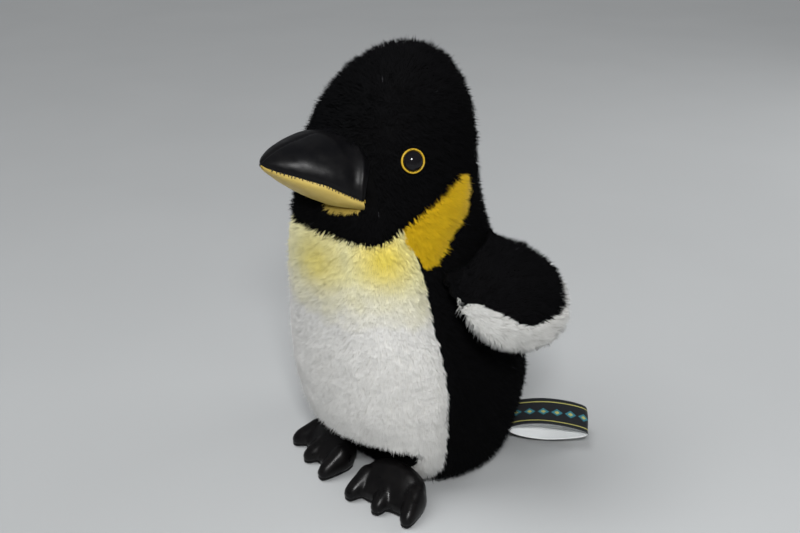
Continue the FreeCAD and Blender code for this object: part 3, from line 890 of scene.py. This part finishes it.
def foot_lobe(sections, offset, turn, stretch, steps=28):
    """A closed lobe on the floor, flat underneath and arched above."""
    turn = math.radians(turn)
    rows = smooth_rows(np.array(sections) * np.array([stretch, 1.0, 1.0]), 6)
    points = []
    for ahead, half, height in rows:
        for k in range(steps):
            t = 2 * math.pi * k / steps
            across = half * math.cos(t)
            rise = height * (0.40 + 0.60 * math.sin(t))
            points.append((offset + across * math.cos(turn) + ahead * math.sin(turn),
                           -ahead * math.cos(turn) + across * math.sin(turn), max(rise, 0.0)))
    faces = []
    for row in range(len(rows) - 1):
        for k in range(steps):
            a, b = row * steps + k, row * steps + (k + 1) % steps
            faces.append((a, b, b + steps, a + steps))
    faces.append(tuple(range(steps))[::-1])
    last = (len(rows) - 1) * steps
    faces.append(tuple(range(last, last + steps)))
    return points, faces


def foot_surface(word, side):
    """Points, triangles and normals of one foot, in its place under the belly."""
    mesh = bpy.data.meshes.new("foot_lobes")
    points, faces = [], []
    for sections, offset, turn, stretch in ([(INSTEP, 0.0, 0.0, 1.0)]
                                            + [(TOE, *toe) for toe in TOES]):
        more, rings = foot_lobe(sections, offset, turn, stretch)
        faces += [tuple(len(points) + k for k in face) for face in rings]
        points += more
    mesh.from_pydata(points, [], faces)
    low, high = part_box("foot_sole_" + word)
    mesh.transform(Matrix.Translation((0, 0, low[2])) @ Matrix.Rotation(FOOT_TURN * side, 4, "Z"))
    points, triangles, normals = remeshed(mesh, FOOT_VOXEL, 9)
    points[:, 0] += (low[0] + high[0]) / 2 - (points[:, 0].min() + points[:, 0].max()) / 2
    points[:, 1] += low[1] - 0.0004 - points[:, 1].min()
    points[:, 2] += 0.0003 - points[:, 2].min()
    return points, triangles, normals


def make_feet():
    for word, side in SIDES:
        points, triangles, normals = foot_surface(word, side)
        height = points[:, 2]
        labels = np.where(height < SOLE_TOP, 1, 0)
        seam = 0.0004 * np.exp(-((height - 0.0024) / 0.0009) ** 2)
        dents = (0.0003 * soft_noise(points, 0.012, 51)[:, 0]
                 + 0.00012 * soft_noise(points, 0.0045, 52)[:, 0]) * np.clip(height / 0.008, 0, 1)
        skin = points - normals * (seam + dents)[:, None]
        skin[:, 2] = np.maximum(skin[:, 2], 0.0002)
        skin_normals = point_normals(skin, triangles)
        majority = majority_of(labels, triangles)
        for index, node in enumerate(("foot_upper_" + word, "foot_sole_" + word)):
            mine = triangles[majority == index]
            own_points, own_triangles, own_normals = compact(skin, mine, skin_normals)
            shell, faces = backed(own_points, own_triangles, own_normals, CLOTH)
            piece = surface_object("vinyl_" + node, shell, faces, FOOT_VINYL)
            own(piece, "foot_" + word, "black_vinyl", node, fill=0.8)


# ---- stuffing --------------------------------------------------------------------------------
def shrunk(points, share):
    """The points drawn in towards the middle of their box."""
    middle = (points.min(axis=0) + points.max(axis=0)) / 2
    return middle + (points - middle) * share


def make_stuffing():
    for node, loose in (("head_filling", 0.0026), ("body_filling", 0.0020)):
        points, triangles, normals = fused([node], 0.003, 3)
        fluff = loose + 0.0004 * soft_noise(points, 0.009, 61)[:, 0]
        points = points - normals * fluff[:, None]
        piece = surface_object("stuffing_" + node, points, triangles, FIBRE_FILL)
        own(piece, "torso", "stuffing", node, fill=0.6)
    for word, side in SIDES:
        points, triangles, normals = fused(["wing_filling_" + word], 0.0014, 3)
        fluff = 0.0007 + 0.0003 * soft_noise(points, 0.004, 61)[:, 0]
        wing = surface_object("stuffing_wing_" + word,
                              shrunk(points - normals * fluff[:, None], 0.86), triangles, FIBRE_FILL)
        own(wing, "wing_" + word, "stuffing", "wing_filling_" + word, fill=0.6)
        points, triangles, normals = foot_surface(word, side)
        foot = surface_object("stuffing_foot_" + word, points - normals * 0.0013, triangles, FIBRE_FILL)
        own(foot, "foot_" + word, "stuffing", "foot_filling_" + word, fill=0.6)
    points, triangles, _ = fused(["beak_filling"], 0.0015, 3)
    beak = surface_object("stuffing_beak", shrunk(points, 0.84), triangles, FIBRE_FILL)
    own(beak, "torso", "stuffing", "beak_filling", fill=0.6)
    points, triangles, normals = fused(["pellet_pouch"], 0.0015, 4)
    pellets = 0.0008 + 0.0006 * soft_noise(points, 0.004, 62)[:, 0]
    points = points - normals * pellets[:, None]
    pouch = surface_object("pellet_bag", points, triangles, pellet_bag_cloth())
    own(pouch, "torso", "pellet_bag", "pellet_pouch", fill=0.7)


# ---- label -----------------------------------------------------------------------------------
LABEL_ANGLE = math.radians(54.0)
LABEL_AIM = math.radians(42.0)
LABEL_TILT = math.radians(13.0)
LABEL_WIDTH = 0.020
LABEL_LENGTH = 0.047
LABEL_OPENING = 0.0061
LABEL_ROOT_RADIUS = 0.0550
LABEL_ROOT_Z = 0.0113
LABEL_CLOTH = 0.0004


def label_material():
    """Woven satin: black outside with a plain border pattern, white inside."""
    graph = Graph("label_satin")
    flat = graph.node("UVMap", uv_map="weave")
    across = graph.node("SeparateXYZ", {0: flat}, output=0)
    along = graph.node("SeparateXYZ", {0: flat}, output=1)
    inner = graph.node("Attribute", attribute_name="inner", output="Fac")
    dark = rgb(0.010, 0.012, 0.014)
    gold = rgb(0.36, 0.34, 0.10)
    teal = rgb(0.03, 0.16, 0.20)
    from_middle = graph.math("ABSOLUTE", graph.math("SUBTRACT", across, 0.5))
    border = graph.math("COMPARE", from_middle, 0.36)
    border.node.inputs[2].default_value = 0.018
    colour = graph.blend(border, dark, gold)
    wave = graph.math("PINGPONG", graph.math("MULTIPLY", along, 13.0), 0.5)
    away = graph.math("ADD", graph.math("MULTIPLY", from_middle, 3.2), wave)
    diamond = graph.math("LESS_THAN", away, 0.42)
    colour = graph.blend(diamond, colour, teal)
    heart = graph.math("LESS_THAN", away, 0.20)
    colour = graph.blend(heart, colour, gold)
    colour = graph.blend(inner, colour, rgb(0.80, 0.82, 0.82))
    ribs = graph.node("TexWave", {"Vector": flat, "Scale": 60.0}, bands_direction="Y")
    fine = graph.node("TexWave", {"Vector": flat, "Scale": 22.0}, bands_direction="X")
    height = graph.math("ADD", ribs, graph.math("MULTIPLY", fine, 0.6))
    # Painted shade: the colour is darker where the ribs' bump is low, in the grooves between ribs.
    colour = graph.blend(1.0, colour, graph.span(ribs, 0.0, 1.0, 0.86, 1.06), "MULTIPLY")
    return graph.finish(Base_Color=colour, Roughness=0.42, Normal=graph.bump(height, 0.3, 0.0001),
                        Specular_IOR_Level=0.5, Sheen_Weight=0.2, Sheen_Roughness=0.3)


def make_label():
    """A ribbon folded into a drop-shaped loop, both ends sewn into the base seam."""
    upper = np.array([(0.0, 0.0), (0.18, 0.66), (0.45, 1.0), (0.72, 0.86), (0.93, 0.46), (1.0, 0.0)])
    upper = upper * np.array([LABEL_LENGTH, LABEL_OPENING])
    lower = upper[::-1][1:] * np.array([1.0, -1.0])
    line = smooth_rows(np.vstack([upper, lower]), 12)
    steps = np.linalg.norm(np.diff(line, axis=0), axis=1)
    travelled = np.concatenate([[0], np.cumsum(steps)])
    total = travelled[-1]
    tangent = unit(np.gradient(line, axis=0))
    outward = np.column_stack([-tangent[:, 1], tangent[:, 0]])
    aim = np.array([math.cos(LABEL_AIM), math.sin(LABEL_AIM), 0])
    wide = np.array([-math.sin(LABEL_AIM) * math.cos(LABEL_TILT),
                     math.cos(LABEL_AIM) * math.cos(LABEL_TILT), math.sin(LABEL_TILT)])
    high = np.cross(aim, wide)
    root = np.array([LABEL_ROOT_RADIUS * math.cos(LABEL_ANGLE),
                     LABEL_ROOT_RADIUS * math.sin(LABEL_ANGLE), LABEL_ROOT_Z])
    columns = 21
    points, uvs, inner = [], [], []
    for layer, offset in ((0, 0.0), (1, -LABEL_CLOTH)):
        for row, (x, z) in enumerate(line):
            for k in range(columns):
                share = k / (columns - 1)
                ripple = 0.00035 * math.sin(5 * share + 9 * travelled[row] / total)
                ripple *= min(x / 0.01, 1.0)
                px = x + outward[row, 0] * (offset + ripple)
                pz = z + outward[row, 1] * (offset + ripple)
                points.append(root + aim * px + high * pz + wide * LABEL_WIDTH * (share - 0.5))
                uvs.append((share, travelled[row] / total))
                inner.append(float(layer))
    rows = len(line)
    grid = rows * columns
    triangles = []
    for r in range(rows - 1):
        for k in range(columns - 1):
            a = r * columns + k
            b, c, d = a + 1, a + columns, a + columns + 1
            triangles += [(a, c, d), (a, d, b),
                          (a + grid, d + grid, c + grid), (a + grid, b + grid, d + grid)]
    ring = list(range(columns)) + [r * columns + columns - 1 for r in range(1, rows)]
    ring += [(rows - 1) * columns + k for k in range(columns - 2, -1, -1)]
    ring += [r * columns for r in range(rows - 2, 0, -1)]
    for a, b in zip(ring, ring[1:] + ring[:1]):
        triangles += [(a, b, b + grid), (a, b + grid, a + grid)]
    triangles = np.array(triangles)
    piece = surface_object("label_ribbon", np.array(points), triangles, label_material())
    flat = piece.data.uv_layers.new(name="weave")
    flat.data.foreach_set("uv", np.array(uvs, np.float32)[triangles.ravel()].ravel())
    field = piece.data.attributes.new("inner", "FLOAT", "POINT")
    field.data.foreach_set("value", np.array(inner, np.float32))
    own(piece, "label", "black_satin", "label_loop")


# ---- room ------------------------------------------------------------------------------------
def make_room():
    graph = Graph("pale_cloth")
    cloudy = graph.noise(graph.place(), 6.0)
    base = graph.blend(cloudy, rgb(0.36, 0.37, 0.375), rgb(0.385, 0.395, 0.40))
    floor_material = graph.finish(Base_Color=base, Roughness=0.9)
    bm = bmesh.new()
    bmesh.ops.create_grid(bm, x_segments=8, y_segments=8, size=6.0)
    mesh = bpy.data.meshes.new("floor")
    bm.to_mesh(mesh)
    bm.free()
    mesh.materials.append(floor_material)
    link(bpy.data.objects.new("floor", mesh))

    world = bpy.data.worlds.new("soft_room")
    world.use_nodes = True
    background = world.node_tree.nodes["Background"]
    background.inputs["Color"].default_value = rgb(0.95, 0.97, 1.0)
    background.inputs["Strength"].default_value = 0.16
    bpy.context.scene.world = world
    bpy.context.scene.view_settings.view_transform = "Standard"

    def light(name, kind, power, glossy, **settings):
        data = bpy.data.lights.new(name, kind)
        data.energy = power
        for key, value in settings.items():
            setattr(data, key, value)
        obj = link(bpy.data.objects.new(name, data))
        obj.visible_glossy = glossy
        return obj

    for name, place, power, size, glossy in (("key", (0.40, -0.33, 0.50), 3.5, 0.10, True),
                                             ("soft_left", (-0.55, -0.80, 0.75), 2.3, 0.7, False),
                                             ("soft_back", (0.35, 0.95, 0.65), 5.0, 0.6, False)):
        lamp = light(name, "AREA", power, glossy, size=size)
        lamp.location = place
        lamp.rotation_mode = "QUATERNION"
        lamp.rotation_quaternion = (Vector((0, 0, 0.10)) - Vector(place)).to_track_quat("-Z", "Y")
    overhead = light("overhead", "SUN", 1.95, False, angle=math.radians(40))
    overhead.rotation_euler = (math.radians(18), math.radians(-14), 0.0)


make_room()
make_eyes()
make_body()
make_wings()
make_beak()
make_feet()
make_stuffing()
make_label()
